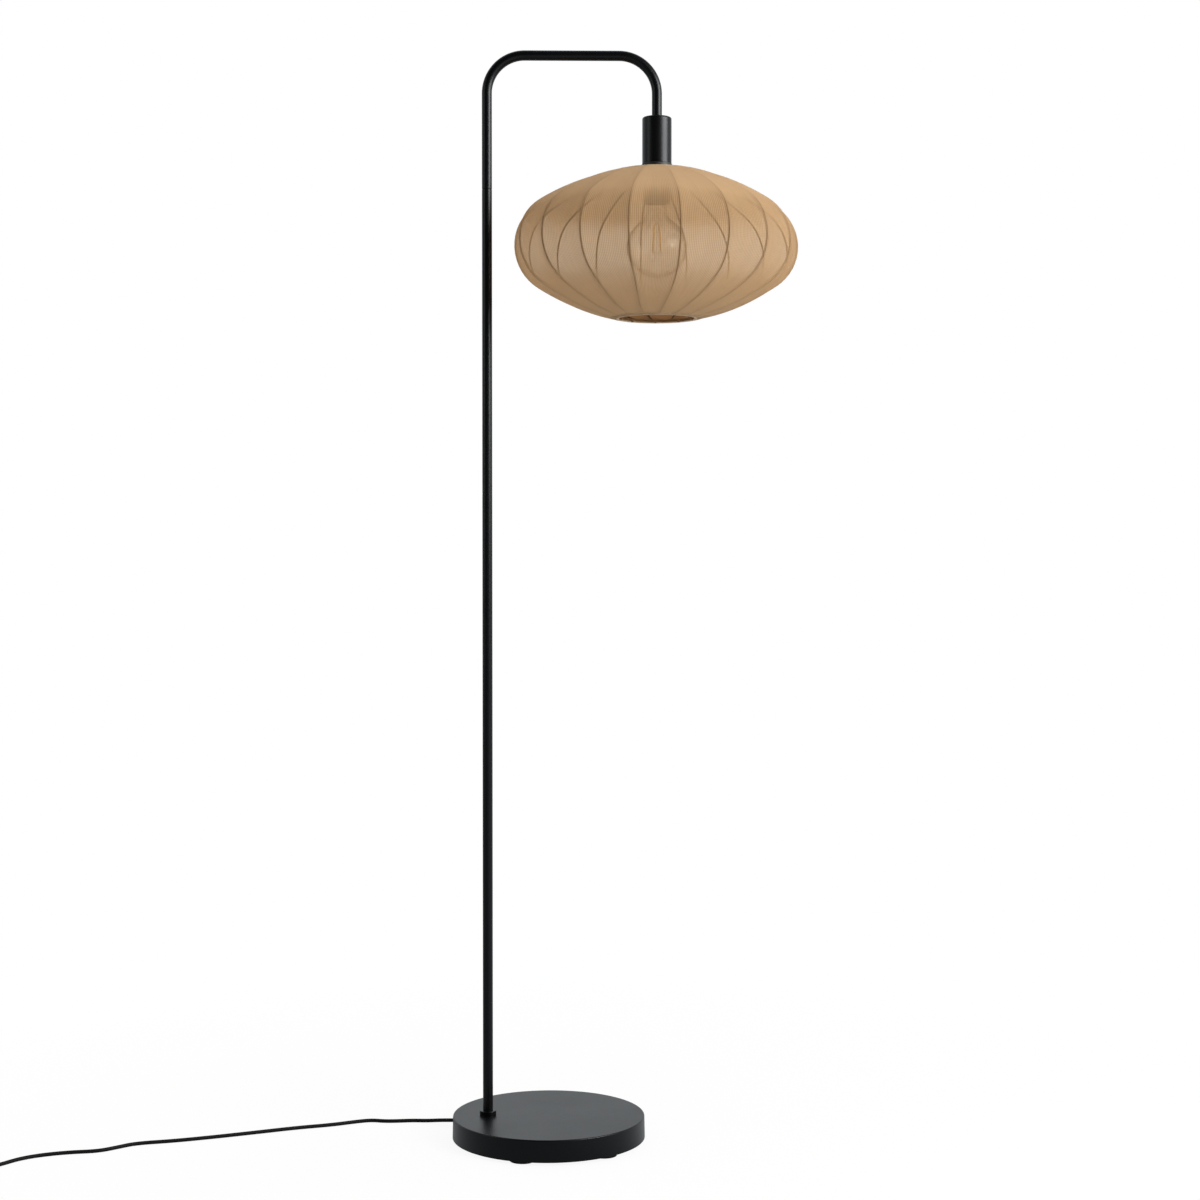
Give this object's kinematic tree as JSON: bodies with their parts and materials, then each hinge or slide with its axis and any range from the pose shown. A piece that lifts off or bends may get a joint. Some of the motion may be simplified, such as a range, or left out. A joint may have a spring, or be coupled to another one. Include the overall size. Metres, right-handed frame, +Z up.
{
  "type": "floor lamp",
  "caption": "Floor lamp with a weighted round base, an offset pole with an arched arm, and a lantern shade of knit stretched over wire ribs round a globe bulb.",
  "frame": {"origin": "centre of the base on the floor", "axes": "+X from the pole towards the shade, +Y to the rear, where the mains lead leaves the base, +Z up"},
  "size_m": [1.2559, 0.3786, 1.4438],
  "materials": {
    "black_paint": "satin powder coat",
    "iron": "raw casting",
    "zinc_steel": "zinc plated",
    "rubber_pad": "matt",
    "holder_plastic": "moulded",
    "pale_insulation": "moulded",
    "brass": "plain",
    "knit_fabric": "fine stretched knit",
    "hem_tape": "folded tape",
    "dark_wire": "brown coated wire",
    "clip_plastic": "moulded",
    "clear_glass": "clear",
    "nickel": "nickel plated",
    "black_glass": "opaque",
    "filament_coating": "phosphor",
    "cord_sheath": "smooth sheath",
    "black_plastic": "moulded"
  },
  "bodies": {
    "stand": {"base_cover": "black_paint", "pole_collar": "black_paint", "lower_pole_tube": "black_paint", "upper_pole_tube": "black_paint", "arm_tube": "black_paint", "holder_cup": "black_paint", "base_weight": "iron", "base_plate": "zinc_steel", "base_plate_screws": "zinc_steel", "foot_stud": "zinc_steel", "foot_bush": "zinc_steel", "foot_washer": "zinc_steel", "foot_nut": "zinc_steel", "pole_joiners": "zinc_steel", "pole_inserts": "zinc_steel", "arm_end_bush": "zinc_steel", "cup_washer": "zinc_steel", "cup_nut": "zinc_steel", "holder_nipple": "zinc_steel", "switch_screws": "zinc_steel", "switch_spring": "zinc_steel", "base_feet": "rubber_pad", "holder_cap": "holder_plastic", "holder_shell": "holder_plastic", "shade_ring_nut": "holder_plastic", "holder_insert": "pale_insulation", "switch_contacts": "pale_insulation", "terminal_screws": "brass", "holder_screw_shell": "brass", "holder_contact": "brass", "shade_fabric": "knit_fabric", "shade_top_hem": "hem_tape", "shade_bottom_hem": "hem_tape", "shade_ribs": "dark_wire", "shade_top_ring": "dark_wire", "shade_bottom_ring": "dark_wire", "shade_fitter": "dark_wire", "rib_clips": "clip_plastic", "plug_pins": "nickel", "inner_cable": "cord_sheath", "cord_to_switch": "cord_sheath", "cord_to_coil": "cord_sheath", "cord_coil": "cord_sheath", "cord_to_plug": "cord_sheath", "switch_leads": "cord_sheath", "cord_gland": "cord_sheath", "cord_tie": "cord_sheath", "switch_lower_shell": "black_plastic", "switch_upper_shell": "black_plastic", "plug_body": "black_plastic", "plug_sleeves": "black_plastic"},
    "button": {"switch_button": "black_plastic"},
    "bulb_tip": {"bulb_contact": "brass"},
    "bulb": {"bulb_glass": "clear_glass", "bulb_cap": "nickel", "bulb_insulator": "black_glass", "bulb_stem": "clear_glass", "bulb_filaments": "filament_coating", "bulb_leads": "nickel"}
  },
  "joints": [
    {"name": "button_press", "type": "slide", "parent": "stand", "child": "button", "axis": [0, 0, -1], "range_m": [0, 0.003], "stiffness_N_per_m": 800, "springref_m": -0.0015, "deforming": ["switch_spring"]},
    {"name": "bulb_feed", "type": "slide", "parent": "stand", "child": "bulb_tip", "axis": [0, 0, 1], "range_m": [-0.0092, 0]},
    {"name": "bulb_turn", "type": "hinge", "parent": "bulb_tip", "child": "bulb", "pos_m": [0.1435, 0, 1.2713], "axis": [0, 0, 1], "range_deg": [-900, 0]}
  ],
  "couplings": [
    {"joint": "bulb_feed", "follows": "bulb_turn", "m_per_rad": 0.00057757}
  ]
}
